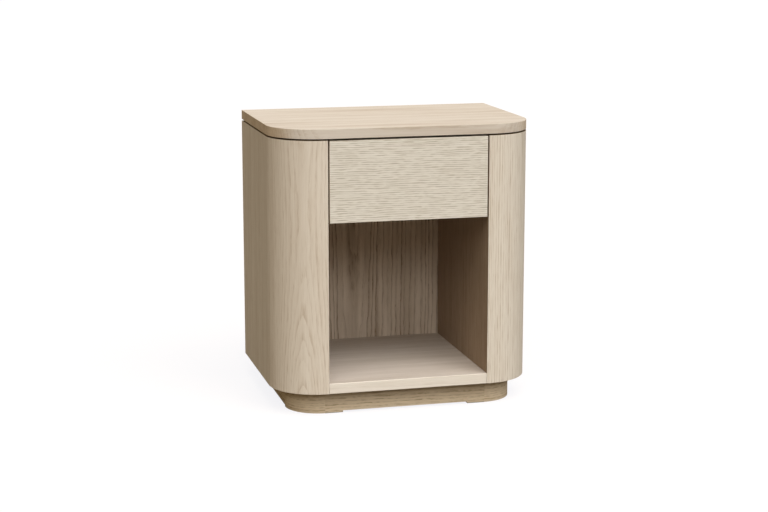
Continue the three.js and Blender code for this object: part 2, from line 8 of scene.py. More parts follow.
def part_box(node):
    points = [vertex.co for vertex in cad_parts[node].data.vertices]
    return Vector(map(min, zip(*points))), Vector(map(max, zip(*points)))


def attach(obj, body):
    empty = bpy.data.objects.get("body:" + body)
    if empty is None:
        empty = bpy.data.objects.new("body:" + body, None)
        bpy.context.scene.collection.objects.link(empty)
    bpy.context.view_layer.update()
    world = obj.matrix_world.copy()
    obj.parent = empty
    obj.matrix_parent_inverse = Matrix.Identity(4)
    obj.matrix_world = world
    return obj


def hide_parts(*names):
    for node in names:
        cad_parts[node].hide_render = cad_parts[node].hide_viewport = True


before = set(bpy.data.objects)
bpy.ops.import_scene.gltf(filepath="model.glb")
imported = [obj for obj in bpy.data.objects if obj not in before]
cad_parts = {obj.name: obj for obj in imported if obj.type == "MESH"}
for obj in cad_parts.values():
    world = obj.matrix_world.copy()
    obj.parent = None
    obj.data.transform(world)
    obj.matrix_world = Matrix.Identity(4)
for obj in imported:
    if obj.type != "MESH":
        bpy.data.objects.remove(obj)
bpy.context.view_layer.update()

MM = 0.001
HANDS = {"left": -1, "right": 1}

# Boxes of the frame that several shapes use; the left-hand bent pieces are mirrored twins
column_low, column_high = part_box("outer_side_right")
foot_low, foot_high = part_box("plinth_corner_right")
rail_low, rail_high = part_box("plinth_front_rail")

# Sizes of the real boards that the frame's boxes don't give
CORNER_RADIUS = 92 * MM
SKIN = 16 * MM
REBATE = 8 * MM
RELIEF = 2.4 * MM
GLIDE_LENGTH = 34 * MM
LIPPING = 2 * MM
GROOVE_PLAY = 0.2 * MM
TOP_PLAY = 0.6 * MM

# How far the arrises of each kind of piece are rounded
EASE_TOP = 0.6 * MM
EASE_BOARD = 0.35 * MM
EASE_FRONT = 0.35 * MM
EASE_LIPPING = 0.7 * MM
EASE_PLINTH = 0.08 * MM
EASE_JOINT = 0.05 * MM
EASE_BOX = 1.5 * MM
EASE_FELT = 0.3 * MM

# How finely shapes are made
EASE_STEPS = 3
CORNER_STEPS = 48
SMOOTH_ANGLE = math.radians(32)
FLAT_WEIGHT = 100
WELD = 0.01 * MM
SLIVER = WELD / 10
FACING = 0.9

# Screws: the tip is a share of the shank's radius, the cross's length, width and depth are shares
# of the head's, and the taper is how wide the cross is at its bottom against its top
SCREW_SIDES = 32
TIP_SHARE = 0.25
TIP_LENGTH = 3 * MM
DOME_TURNS = [math.radians(turn) for turn in (0, 22, 44, 64, 82)]
CROSS_LENGTH = 1.15
CROSS_WIDTH = 0.26
CROSS_DEPTH = 0.45
CROSS_TAPER = 0.45

# Camera, as fitted to the cabinet's edges in the photo
CAMERA_PLACE = (-0.84865, -3.28275, 0.93395)
CAMERA_YAW = 14.4273
CAMERA_DIP = 11.1677
FOCAL_LENGTH = 83.25
SENSOR_WIDTH = 36

# The studio; each lamp has where it shines from, its strength, its spread in degrees and its colour
FLOOR_SIZE = 80
FLOOR_COLOUR = (0.17, 0.15, 0.12, 1)
FLOOR_ROUGHNESS = 0.9
FLOOR_GLOW = 0.88
GLOW_COLOUR = (0.962, 0.967, 1.0, 1)
ROOM_COLOUR = (1.0, 0.90, 0.76, 1)
ROOM_STRENGTH = 0.05
WHITE = (1, 1, 1, 1)
LAMPS = {
    "high": ((0.12, -0.42, 0.90), 1.85, 45, (1.0, 1.0, 1.0)),
    "key_left": ((-0.40, -0.60, 0.69), 0.95, 45, (1.0, 0.97, 0.93)),
    "key_right": ((0.50, -0.60, 0.62), 1.0, 45, (1.0, 1.0, 1.0)),
    "front": ((-0.01, -0.28, 0.13), 0.36, 16, (1.0, 1.0, 1.0)),
    "side": ((-0.9, -0.15, 0.40), 0.19, 60, (1.0, 0.64, 0.10)),
    "rear": ((0.15, 0.95, 0.14), 1.7, 50, (1.0, 1.0, 1.0)),
}


# Modelling helpers

def only(piece):
    """Selects one piece and makes it active."""
    bpy.ops.object.select_all(action="DESELECT")
    bpy.context.view_layer.objects.active = piece
    piece.select_set(True)


def settle(piece, name):
    """Back to object mode, with the place in the mesh and the name given."""
    bpy.ops.object.mode_set(mode="OBJECT")
    only(piece)
    bpy.ops.object.transform_apply(location=True, rotation=True, scale=True)
    piece.name = name
    piece.data.name = name
    return piece


def drop_empty_faces(piece):
    """Takes out faces without area, as an operator can leave them where edges nearly meet."""
    only(piece)
    bpy.ops.object.mode_set(mode="EDIT")
    bpy.ops.mesh.select_all(action="SELECT")
    bpy.ops.mesh.dissolve_degenerate(threshold=SLIVER)
    bpy.ops.object.mode_set(mode="OBJECT")


def smooth_curves(piece):
    """Smooths the curved faces of a piece and keeps the flat ones flat."""
    only(piece)
    bpy.ops.object.shade_smooth_by_angle(angle=SMOOTH_ANGLE)
    flatten = piece.modifiers.new("flat faces", "WEIGHTED_NORMAL")
    flatten.weight = FLAT_WEIGHT
    flatten.keep_sharp = True
    bpy.ops.object.modifier_apply(modifier=flatten.name)
    return piece


def round_arrises(piece, width):
    """Rounds the arrises of a piece and smooths its curved faces."""
    bevel = piece.modifiers.new("arris", "BEVEL")
    bevel.width = width
    bevel.segments = EASE_STEPS
    bevel.limit_method = "ANGLE"
    bevel.angle_limit = SMOOTH_ANGLE
    only(piece)
    bpy.ops.object.modifier_apply(modifier=bevel.name)
    drop_empty_faces(piece)
    return smooth_curves(piece)


def start_plane(middle, across, up, turn=(0, 0, 0)):
    """A flat rectangle in edit mode, all of it selected."""
    bpy.ops.object.select_all(action="DESELECT")
    bpy.ops.mesh.primitive_plane_add(size=1, location=middle, rotation=turn)
    piece = bpy.context.object
    piece.scale = (across, up, 1)
    bpy.ops.object.transform_apply(location=True, rotation=True, scale=True)
    bpy.ops.object.mode_set(mode="EDIT")
    bpy.ops.mesh.select_mode(type="FACE")
    bpy.ops.mesh.select_all(action="SELECT")
    return piece


def pull(x=0.0, y=0.0, z=0.0):
    """Extrudes what is selected."""
    bpy.ops.mesh.extrude_region_move(TRANSFORM_OT_translate={"value": (x, y, z)})


def face_outwards():
    """In edit mode, welds a piece and turns all its faces out."""
    bpy.ops.mesh.select_all(action="SELECT")
    bpy.ops.mesh.remove_doubles(threshold=WELD)
    bpy.ops.mesh.normals_make_consistent(inside=False)


def pick_faces(piece, wanted):
    """In edit mode, selects the faces whose middle and normal pass a test."""
    bpy.ops.mesh.select_mode(type="FACE")
    bpy.ops.mesh.select_all(action="DESELECT")
    bpy.ops.object.mode_set(mode="OBJECT")
    for face in piece.data.polygons:
        face.select = bool(wanted(face.center, face.normal))
    bpy.ops.object.mode_set(mode="EDIT")


def box_piece(name, low, high):
    """A block between two corners."""
    bpy.ops.object.select_all(action="DESELECT")
    bpy.ops.mesh.primitive_cube_add(size=1, location=(low + high) / 2, scale=high - low)
    return settle(bpy.context.object, name)


def mirror_twin(piece):
    """Turns a right-hand piece into its left-hand twin."""
    piece.scale = (-1, 1, 1)
    only(piece)
    bpy.ops.object.transform_apply(location=True, rotation=True, scale=True)
    bpy.ops.object.mode_set(mode="EDIT")
    face_outwards()
    bpy.ops.object.mode_set(mode="OBJECT")


def skin_map(piece, side, centre, radius):
    """A map in metres round a bent board: the way along the bend, and the height."""
    for old in list(piece.data.uv_layers):
        piece.data.uv_layers.remove(old)
    layer = piece.data.uv_layers.new(name="along_bend")
    for loop in piece.data.loops:
        point = piece.data.vertices[loop.vertex_index].co
        out = side * point.x - centre.x
        ahead = centre.y - point.y
        turn = math.atan2(max(ahead, 0.0), max(out, 0.0))
        way = radius * turn + max(-out, 0.0) - max(-ahead, 0.0)
        layer.data[loop.index].uv = (way, point.z)


def cut_with(piece, cutter):
    """Takes the shape of a cutter out of a piece, and the cutter away."""
    recess = piece.modifiers.new("recess", "BOOLEAN")
    recess.operation = "DIFFERENCE"
    recess.solver = "EXACT"
    recess.object = cutter
    only(piece)
    bpy.ops.object.modifier_apply(modifier=recess.name)
    bpy.data.objects.remove(cutter)


def cut_out(piece, low, high):
    """Takes a square recess out of a piece."""
    cut_with(piece, box_piece("cutter", Vector(low), Vector(high)))


# The cabinet's boards

def board(name, node, ease):
    """A square board in the place of a node, with rounded arrises."""
    return round_arrises(box_piece(name, *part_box(node)), ease)


def rounded_slab(name, node, radius, ease):
    """A slab square at the back and rounded at its two front corners."""
    low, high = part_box(node)
    middle = (low + high) / 2
    piece = start_plane((middle.x, middle.y, low.z), high.x - low.x, high.y - low.y)
    bpy.ops.mesh.select_mode(type="VERT")
    bpy.ops.mesh.select_all(action="DESELECT")
    bpy.ops.object.mode_set(mode="OBJECT")
    for vertex in piece.data.vertices:
        vertex.select = vertex.co.y < middle.y
    bpy.ops.object.mode_set(mode="EDIT")
    bpy.ops.mesh.bevel(offset=radius, segments=CORNER_STEPS, affect="VERTICES")
    bpy.ops.mesh.select_all(action="SELECT")
    pull(z=high.z - low.z)
    face_outwards()
    return round_arrises(settle(piece, name), ease)


def bent_skin(name, hand):
    """The outer side of a column: flat from the back, bent round the corner, mitred at the opening."""
    low, high = column_low, column_high
    centre = Vector((high.x - CORNER_RADIUS, low.y + CORNER_RADIUS, (low.z + high.z) / 2))
    start = Vector((high.x - REBATE / 2, high.y, centre.z))
    piece = start_plane(start, REBATE, high.z - low.z, (-math.pi / 2, 0, 0))
    pull(y=-REBATE)
    pull()
    bpy.ops.transform.resize(
        value=(SKIN / REBATE, 1, 1),
        center_override=(high.x, high.y - REBATE, centre.z),
    )
    pull(y=centre.y - high.y + REBATE)
    bpy.ops.mesh.spin(steps=CORNER_STEPS, angle=math.pi / 2, center=centre, axis=(0, 0, 1))
    pull(x=low.x - centre.x)
    bpy.ops.mesh.select_all(action="SELECT")
    bpy.ops.mesh.remove_doubles(threshold=WELD)
    pick_faces(piece, lambda middle, normal: middle.x < low.x + 2 * SKIN)
    bpy.ops.mesh.bisect(
        plane_co=(low.x, low.y, centre.z),
        plane_no=(-1, 1, 0),
        clear_outer=True,
        use_fill=True,
    )
    face_outwards()
    settle(piece, name)
    if hand == "left":
        mirror_twin(piece)
    round_arrises(piece, EASE_BOARD)
    skin_map(piece, HANDS[hand], centre, CORNER_RADIUS)
    return piece


def niche_wall(name, hand):
    """The wall between a column and the opening, its front edge mitred to the skin."""
    low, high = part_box(f"inner_side_{hand}")
    piece = box_piece(name, low, high)
    bpy.ops.object.mode_set(mode="EDIT")
    bpy.ops.mesh.select_all(action="SELECT")
    side = HANDS[hand]
    inner = low.x if side > 0 else high.x
    bpy.ops.mesh.bisect(
        plane_co=(inner, low.y, low.z),
        plane_no=(side, -1, 0),
        clear_outer=True,
        use_fill=True,
    )
    face_outwards()
    return round_arrises(settle(piece, name), EASE_BOARD)


def lipping_strip(name, low, high):
    """A thin strip glued to a board's edge, with only its front arrises rounded."""
    piece = box_piece(name, low, high)
    bpy.ops.object.mode_set(mode="EDIT")
    pick_faces(piece, lambda middle, normal: normal.y < -FACING)
    bpy.ops.mesh.bevel(offset=EASE_LIPPING, segments=EASE_STEPS, affect="EDGES")
    return smooth_curves(settle(piece, name))


# The plinth

def plinth_foot(name, hand):
    """A quarter ring of the plinth."""
    low, high = foot_low, foot_high
    centre = Vector((low.x, high.y, (low.z + high.z) / 2))
    thickness = rail_high.y - rail_low.y
    start = (high.x - thickness / 2, high.y, centre.z)
    piece = start_plane(start, thickness, high.z - low.z, (-math.pi / 2, 0, 0))
    bpy.ops.mesh.spin(steps=CORNER_STEPS, angle=math.pi / 2, center=centre, axis=(0, 0, 1))
    face_outwards()
    settle(piece, name)
    if hand == "left":
        mirror_twin(piece)
    round_arrises(piece, EASE_PLINTH)
    skin_map(piece, HANDS[hand], centre, high.x - low.x)
    return piece


def front_rail(name, node):
    """The plinth's front rail, standing on its two ends."""
    low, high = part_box(node)
    piece = box_piece(name, low, high)
    cut_out(
        piece,
        (low.x + GLIDE_LENGTH, low.y - RELIEF, low.z - RELIEF),
        (high.x - GLIDE_LENGTH, high.y + RELIEF, low.z + RELIEF),
    )
    return round_arrises(piece, EASE_PLINTH)


def side_rail(name, node):
    """A side rail of the plinth, standing on its rear end."""
    low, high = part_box(node)
    piece = box_piece(name, low, high)
    cut_out(
        piece,
        (low.x - RELIEF, low.y - RELIEF, low.z - RELIEF),
        (high.x + RELIEF, high.y - GLIDE_LENGTH, low.z + RELIEF),
    )
    return round_arrises(piece, EASE_PLINTH)


# The drawer

def drawer_front_board(name, node):
    """The drawer front, a little lower at its top than the columns, for its play under the top."""
    low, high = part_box(node)
    high = Vector((high.x, high.y, high.z - TOP_PLAY))
    return round_arrises(box_piece(name, low, high), EASE_FRONT)


def box_board(name, node):
    """A board of the drawer box, with the groove that holds the box's bottom."""
    bottom_low, bottom_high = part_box("drawer_bottom")
    piece = box_piece(name, *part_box(node))
    loose = Vector((GROOVE_PLAY, GROOVE_PLAY, GROOVE_PLAY))
    cut_out(piece, bottom_low - loose, bottom_high + loose)
    return round_arrises(piece, EASE_BOX)


# The screws

def cut_cross(piece, radius, top):
    """Cuts the cross of a driver into the head of a screw, narrower at its bottom."""
    depth = CROSS_DEPTH * radius
    length, width = CROSS_LENGTH * radius, CROSS_WIDTH * radius
    for turn in (0, math.pi / 2):
        bar = start_plane((0, 0, top + depth), length, width, (0, 0, turn))
        pull(z=-depth)
        pull(z=-depth)
        bpy.ops.transform.resize(
            value=(CROSS_TAPER, CROSS_TAPER, 1),
            center_override=(0, 0, top - depth),
        )
        face_outwards()
        cut_with(piece, settle(bar, "cutter"))


def screw_rings(shank, head, height, length, countersunk):
    """The rings of a screw from its tip up, each as its radius and its rise over the one before."""
    if countersunk:
        body = length - TIP_LENGTH - head + shank
        return [(shank, TIP_LENGTH), (shank, body), (head, head - shank)]
    dome = [(head * math.cos(turn), height * math.sin(turn)) for turn in DOME_TURNS]
    rises = [rise - before for (_, rise), (_, before) in zip(dome[1:], dome)]
    rings = [(shank, TIP_LENGTH), (shank, length - TIP_LENGTH), (head, 0.0)]
    return rings + [(radius, rise) for (radius, _), rise in zip(dome[1:], rises)]


def screw_blank(name, shank, head, height, length, countersunk):
    """A screw along Z, its head on top, with the seat of the head at the origin."""
    bpy.ops.object.select_all(action="DESELECT")
    bpy.ops.mesh.primitive_circle_add(
        vertices=SCREW_SIDES,
        radius=shank * TIP_SHARE,
        fill_type="NGON",
        location=(0, 0, -length),
    )
    piece = bpy.context.object
    bpy.ops.object.mode_set(mode="EDIT")
    bpy.ops.mesh.select_all(action="SELECT")
    radius = shank * TIP_SHARE
    level = -length
    for wide, rise in screw_rings(shank, head, height, length, countersunk):
        level += rise
        pull(z=rise)
        bpy.ops.transform.resize(
            value=(wide / radius, wide / radius, 1),
            center_override=(0, 0, level),
        )
        radius = wide
    face_outwards()
    settle(piece, name)
    cut_cross(piece, head, level)
    drop_empty_faces(piece)
    bpy.ops.object.shade_smooth_by_angle(angle=SMOOTH_ANGLE)
    return piece


def screw_at(blank, name, node, aim):
    """A copy of a screw in the place of a node, its point along aim."""
    low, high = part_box(node)
    piece = blank.copy()
    piece.data = blank.data.copy()
    bpy.context.scene.collection.objects.link(piece)
    turn = (-Vector(aim)).to_track_quat("Z", "Y").to_matrix().to_4x4()
    piece.data.transform(turn)
    points = [vertex.co for vertex in piece.data.vertices]
    lowest = Vector(min(point[axis] for point in points) for axis in range(3))
    highest = Vector(max(point[axis] for point in points) for axis in range(3))
    shift = (low + high) / 2 - (lowest + highest) / 2
    piece.data.transform(Matrix.Translation(shift))
    piece.name = name
    piece.data.name = name
    return piece


# Node helpers

# A mix node has several sockets of each name, so the ones for colours are picked by number
MIX_AMOUNT = 0
MIX_FIRST = 6
MIX_SECOND = 7
MIX_RESULT = 2

# The middle of every noise, and the brightest level of a screen
NOISE_MEAN = 0.5
BRIGHTEST = 255


def add(tree, kind, sockets=None, **settings):
    """Adds a node with its settings, and with a value or a link for each named socket."""
    made = tree.nodes.new(kind)
    for name, value in settings.items():
        setattr(made, name, value)
    for key, value in (sockets or {}).items():
        if isinstance(value, bpy.types.NodeSocket):
            tree.links.new(value, made.inputs[key])
        else:
            made.inputs[key].default_value = value
    return made


def reckon(tree, operation, *terms):
    """A sum on numbers."""
    return add(tree, "ShaderNodeMath", dict(enumerate(terms)), operation=operation).outputs[0]


def steer(tree, operation, first, second=None, scale=None):
    """A sum on vectors."""
    sockets = {0: first}
    if second is not None:
        sockets[1] = second
    if scale is not None:
        sockets["Scale"] = scale
    made = add(tree, "ShaderNodeVectorMath", sockets, operation=operation)
    return made.outputs["Value" if operation in ("LENGTH", "DOT_PRODUCT") else "Vector"]


def speckle(tree, where, stretch, detail=1.0, roughness=0.5, output="Fac"):
    """Noise, with so many spots to the metre in each direction."""
    spot = steer(tree, "MULTIPLY", where, stretch)
    sockets = {"Vector": spot, "Scale": 1.0, "Detail": detail, "Roughness": roughness}
    return add(tree, "ShaderNodeTexNoise", sockets).outputs[output]


def drift(tree, where, stretch, detail, reach):
    """Noise round zero that moves a figure by up to about half its reach, in metres."""
    noise = speckle(tree, where, stretch, detail=detail, output="Color")
    centred = steer(tree, "SUBTRACT", noise, (NOISE_MEAN, NOISE_MEAN, NOISE_MEAN))
    return steer(tree, "SCALE", centred, scale=reach)


def ramp(tree, value, stops):
    """A curve through (position, brightness) stops."""
    made = add(tree, "ShaderNodeValToRGB", {"Fac": value})
    points = made.color_ramp.elements
    while len(points) < len(stops):
        points.new(0.5)
    for point, (position, level) in zip(points, stops):
        point.position = position
        point.color = (level, level, level, 1)
    return made.outputs["Color"]


def clamp(tree, value):
    """A number kept between 0 and 1."""
    return add(tree, "ShaderNodeClamp", {0: value}).outputs[0]


def blend_colours(tree, amount, first, second, kind="MIX"):
    """Two colours laid over each other."""
    sockets = {MIX_AMOUNT: amount, MIX_FIRST: first, MIX_SECOND: second}
    made = add(tree, "ShaderNodeMix", sockets, data_type="RGBA", blend_type=kind)
    return made.outputs[MIX_RESULT]


def emboss(tree, shader, height, strength, depth):
    """Lets a height show in the light on a shader, without moving the surface."""
    bump = add(tree, "ShaderNodeBump", {"Height": height, "Strength": strength, "Distance": depth})
    tree.links.new(bump.outputs[0], shader.inputs["Normal"])


def new_group(name, inputs, outputs):
    """An empty node group with its sockets: the tree, what goes in and what comes out."""
    tree = bpy.data.node_groups.new(name, "ShaderNodeTree")
    for label, (kind, value) in inputs.items():
        kind = f"NodeSocket{kind}"
        socket = tree.interface.new_socket(name=label, in_out="INPUT", socket_type=kind)
        if value is not None:
            socket.default_value = value
    for label, kind in outputs.items():
        kind = f"NodeSocket{kind}"
        tree.interface.new_socket(name=label, in_out="OUTPUT", socket_type=kind)
    inside = tree.nodes.new("NodeGroupInput").outputs
    outside = tree.nodes.new("NodeGroupOutput").inputs
    return tree, inside, outside


def srgb(red, green, blue):
    """A colour as it looks on a screen, 0 to 255, made linear."""
    linear = []
    for value in (red, green, blue):
        share = value / BRIGHTEST
        linear.append(share / 12.92 if share <= 0.04045 else ((share + 0.055) / 1.055) ** 2.4)
    return (*linear, 1)


# The noises in the figure of wood: spots to the metre across a board, through it and along its
# grain. Breaks have one number for across and through, and each wood's own rate along the grain
SLOW_SPOTS = (11, 11, 2.6)
SLOW_DETAIL = 1.5
QUICK_SPOTS = (95, 95, 24)
QUICK_DETAIL = 2.0
CLOUD_SPOTS = (42, 42, 3.2)
FIBRE_SPOTS = (420, 420, 7)
PORE_SPOTS = (1100, 1100, 42)
BREAK_SPOTS = 230.0

# How far a seed of one shifts the noises, in metres
SEED_STEP = (7.3, 3.9, 5.1)

# What each ring takes from the heart's shade, how often crowding changes per ring, and how faint
# a ring may be
HEART_FADE = 0.42
CROWDING_PER_RING = 0.31
FAINT_SHARE = 0.6
FAINTEST = 0.8

# How dark a ring is from its start to its end, and what the noises become
RING_PROFILE = [(0.0, 0.06), (0.07, 1.0), (0.24, 0.72), (0.5, 0.2), (0.9, 0.0), (1.0, 0.06)]
BREAK_CURVE = [(0.38, 0.15), (0.62, 1.0)]
PORE_CURVE = [(0.5, 0.0), (0.66, 1.0)]

# Pores in the dark lines and everywhere, and what goes into the colour, roughness and height
PORES_IN_LINES = 0.8
PORES_ELSEWHERE = 0.2
PORE_SHARE = 0.5
LEAST_DARK = 0.12
WOOD_ROUGHNESS = 0.45
ROUGHER_FIBRES = 0.14
ROUGHER_LINES = 0.1
FIBRE_HEIGHT = 0.3
LINE_HEIGHT = -0.3
PORE_HEIGHT = -1.0
PORE_DEPTH = 0.15 * MM
WOOD_EMBOSS = 0.35

# What a wood gives the figure, with the value where it gives none, and what the figure gives
FIGURE_INPUTS = {
    "Board": ("Vector", None),
    "Seed": ("Float", 0.0),
    "Ring Width": ("Float", 0.005),
    "Taper": ("Float", 0.05),
    "Bow": ("Float", 0.0),
    "Wander": ("Float", 0.006),
    "Ripple": ("Float", 0.001),
    "Unevenness": ("Float", 1.0),
    "Breaks": ("Float", 0.85),
    "Break Rate": ("Float", 24.0),
    "Sharpness": ("Float", 1.0),
    "Heart Shade": ("Float", 0.0),
    "Pale": ("Color", (1, 1, 1, 1)),
    "Dark": ("Color", (0, 0, 0, 1)),
    "Line Strength": ("Float", 0.5),
    "Cloud Strength": ("Float", 0.1),
    "Fibre Strength": ("Float", 0.1),
}
FIGURE_OUTPUTS = {"Colour": "Color", "Roughness": "Float", "Height": "Float"}


def count_rings(tree, given, moved):
    """How many rings lie between the heart and a point, and how near the heart is, 1 to 0."""
    parts = add(tree, "ShaderNodeSeparateXYZ", {0: moved}).outputs
    slope = reckon(tree, "MULTIPLY_ADD", parts["Z"], given["Bow"], given["Taper"])
    depth = reckon(tree, "MULTIPLY_ADD", parts["Z"], slope, parts["Y"])
    flat = add(tree, "ShaderNodeCombineXYZ", {"X": parts["X"], "Y": depth}).outputs[0]
    turns = reckon(tree, "DIVIDE", steer(tree, "LENGTH", flat), given["Ring Width"])
    heart = reckon(tree, "MULTIPLY_ADD", turns, -HEART_FADE, 1.0)
    heart = reckon(tree, "MAXIMUM", heart, 0.0)
    years = reckon(tree, "MULTIPLY_ADD", turns, CROWDING_PER_RING, given["Seed"])
    sockets = {"W": years, "Scale": 1.0, "Detail": 1.0}
    crowding = add(tree, "ShaderNodeTexNoise", sockets, noise_dimensions="1D")
    crowded = reckon(tree, "SUBTRACT", crowding.outputs["Fac"], NOISE_MEAN)
    turns = reckon(tree, "MULTIPLY_ADD", crowded, given["Unevenness"], turns)
    return turns, heart


def ring_weight(tree, given, turns, moved):
    """How strong the line of a ring is: more or less from year to year, and broken on its way."""
    year = reckon(tree, "ADD", reckon(tree, "FLOOR", turns), given["Seed"])
    sockets = {"W": year}
    drawn = add(tree, "ShaderNodeTexWhiteNoise", sockets, noise_dimensions="1D").outputs["Value"]
    faint = reckon(tree, "MULTIPLY", given["Unevenness"], FAINT_SHARE)
    faint = reckon(tree, "MINIMUM", faint, FAINTEST)
    weight = reckon(tree, "SUBTRACT", 1.0, reckon(tree, "MULTIPLY", drawn, faint))
    spots = {"X": BREAK_SPOTS, "Y": BREAK_SPOTS, "Z": given["Break Rate"]}
    spots = add(tree, "ShaderNodeCombineXYZ", spots).outputs[0]
    broken = ramp(tree, speckle(tree, moved, spots), BREAK_CURVE)
    broken = reckon(tree, "SUBTRACT", broken, 1.0)
    whole = reckon(tree, "MULTIPLY_ADD", broken, given["Breaks"], 1.0)
    return reckon(tree, "MULTIPLY", weight, whole)


def make_board_figure():
    """Growth rings, pores and fibres of a board, in metres: X across, Y through, Z along its grain."""
    tree, given, out = new_group("board_figure", FIGURE_INPUTS, FIGURE_OUTPUTS)
    shift = steer(tree, "SCALE", SEED_STEP, scale=given["Seed"])
    shifted = steer(tree, "ADD", given["Board"], shift)
    slow = drift(tree, shifted, SLOW_SPOTS, SLOW_DETAIL, given["Wander"])
    quick = drift(tree, shifted, QUICK_SPOTS, QUICK_DETAIL, given["Ripple"])
    moved = steer(tree, "ADD", steer(tree, "ADD", given["Board"], slow), quick)

    turns, heart = count_rings(tree, given, moved)
    profile = ramp(tree, reckon(tree, "FRACT", turns), RING_PROFILE)
    profile = reckon(tree, "POWER", profile, given["Sharpness"])
    band = reckon(tree, "MULTIPLY", profile, ring_weight(tree, given, turns, moved))
    holes = ramp(tree, speckle(tree, moved, PORE_SPOTS), PORE_CURVE)
    crowd = reckon(tree, "MULTIPLY_ADD", profile, PORES_IN_LINES, PORES_ELSEWHERE)
    pores = reckon(tree, "MULTIPLY", holes, crowd)
    fibre = speckle(tree, moved, FIBRE_SPOTS, detail=2.0)
    cloud = speckle(tree, shifted, CLOUD_SPOTS, detail=2.0)

    dark = reckon(tree, "MULTIPLY", band, given["Line Strength"])
    pore_strength = reckon(tree, "MULTIPLY", given["Line Strength"], PORE_SHARE)
    dark = reckon(tree, "MULTIPLY_ADD", pores, pore_strength, dark)
    fibre_round_zero = reckon(tree, "SUBTRACT", fibre, NOISE_MEAN)
    dark = reckon(tree, "MULTIPLY_ADD", fibre_round_zero, given["Fibre Strength"], dark)
    cloud_round_zero = reckon(tree, "SUBTRACT", cloud, NOISE_MEAN)
    dark = reckon(tree, "MULTIPLY_ADD", cloud_round_zero, given["Cloud Strength"], dark)
    dark = reckon(tree, "MULTIPLY_ADD", heart, given["Heart Shade"], dark)
    dark = clamp(tree, reckon(tree, "ADD", dark, LEAST_DARK))
    tree.links.new(blend_colours(tree, dark, given["Pale"], given["Dark"]), out["Colour"])

    rough = reckon(tree, "MULTIPLY_ADD", fibre, ROUGHER_FIBRES, WOOD_ROUGHNESS)
    tree.links.new(reckon(tree, "MULTIPLY_ADD", band, ROUGHER_LINES, rough), out["Roughness"])
    height = reckon(tree, "MULTIPLY", fibre, FIBRE_HEIGHT)
    height = reckon(tree, "MULTIPLY_ADD", pores, PORE_HEIGHT, height)
    tree.links.new(reckon(tree, "MULTIPLY_ADD", band, LINE_HEIGHT, height), out["Height"])
    return tree


# Effects that several finishes share: painted highlight and scuffing on arrises, painted shade in the
# gap under the top, and end grain
LIT_AND_WORN_WIDTH = 0.7 * MM
BEVEL_SAMPLES = 6
ARRIS_GAIN = 9.0
ARRIS_SPOTS = (160, 160, 160)
ARRIS_CURVE = [(0.3, 0.45), (0.6, 1.0)]
ARRIS_SHARE = 0.5
GAP_FACING = 0.7
# Painted shade: the brown given to the upward edges inside the gap under the top
GAP_SHADE_COLOUR = (0.26, 0.19, 0.12, 1)
# End grain is darker: partly its own colour, partly painted shade for the drawer front's side gaps
END_GRAIN = [(0.55, 0.0), (0.95, 1.0)]
END_TINT_AND_SHADE = (0.98, 0.89, 0.76, 1)


def make_arris_wear_and_highlight():
    """Where an arris is scuffed and catches the light, as painted highlight: 1 along it, fading over the
    given width, broken up by noise.
    """
    tree, given, out = new_group(
        "arris_wear_and_highlight",
        {"Width": ("Float", LIT_AND_WORN_WIDTH), "Place": ("Vector", None)},
        {"Mask": "Float"},
    )
    radius = {"Radius": given["Width"]}
    rounded = add(tree, "ShaderNodeBevel", radius, samples=BEVEL_SAMPLES).outputs[0]
    face = add(tree, "ShaderNodeNewGeometry").outputs["Normal"]
    turned = reckon(tree, "SUBTRACT", 1.0, steer(tree, "DOT_PRODUCT", rounded, face))
    near = reckon(tree, "MULTIPLY", turned, ARRIS_GAIN)
    broken = ramp(tree, speckle(tree, given["Place"], ARRIS_SPOTS, detail=2.0), ARRIS_CURVE)
    tree.links.new(clamp(tree, reckon(tree, "MULTIPLY", near, broken)), out["Mask"])
    return tree


def make_gap_painted_shade():
    """Painted shade: the upward edges of the columns inside the gap under the top, coloured brown so
    that the gap reads as deep shade.
    """
    tree, given, out = new_group(
        "gap_painted_shade",
        {"Place": ("Vector", None), "Facing": ("Vector", None)},
        {"Mask": "Float"},
    )
    height = add(tree, "ShaderNodeSeparateXYZ", {0: given["Place"]}).outputs["Z"]
    upward = add(tree, "ShaderNodeSeparateXYZ", {0: given["Facing"]}).outputs["Z"]
    high = reckon(tree, "GREATER_THAN", height, column_high.z - EASE_BOARD)
    level = reckon(tree, "GREATER_THAN", upward, GAP_FACING)
    tree.links.new(reckon(tree, "MULTIPLY", high, level), out["Mask"])
    return tree


board_figure = make_board_figure()
arris_wear_and_highlight = make_arris_wear_and_highlight()
gap_painted_shade = make_gap_painted_shade()


# Finishes

def new_material(name):
    """A material with its Principled shader and its coordinates."""
    made = bpy.data.materials.new(name)
    made.use_nodes = True
    tree = made.node_tree
    shader = tree.nodes["Principled BSDF"]
    where = tree.nodes.new("ShaderNodeTexCoord").outputs
    return made, tree, shader, where


def lay_of(across, through, along):
    """The turn from a piece's directions to a board's: across it, through it and along its grain."""
    return Matrix((across, through, along)).to_euler()


UPRIGHT = lay_of((1, 0, 0), (0, 1, 0), (0, 0, 1))
UPRIGHT_SIDEWAYS = lay_of((0, 1, 0), (-1, 0, 0), (0, 0, 1))
LYING_ACROSS = lay_of((0, 1, 0), (0, 0, 1), (1, 0, 0))
LYING_BACK = lay_of((1, 0, 0), (0, 0, -1), (0, 1, 0))
STANDING_ACROSS = lay_of((0, 0, 1), (0, 1, 0), (-1, 0, 0))
STANDING_BACK = lay_of((0, 0, 1), (1, 0, 0), (0, 1, 0))
ROUND_BEND_UP = lay_of((1, 0, 0), (0, 0, -1), (0, 1, 0))
ROUND_BEND_ACROSS = lay_of((0, 1, 0), (0, 0, 1), (1, 0, 0))


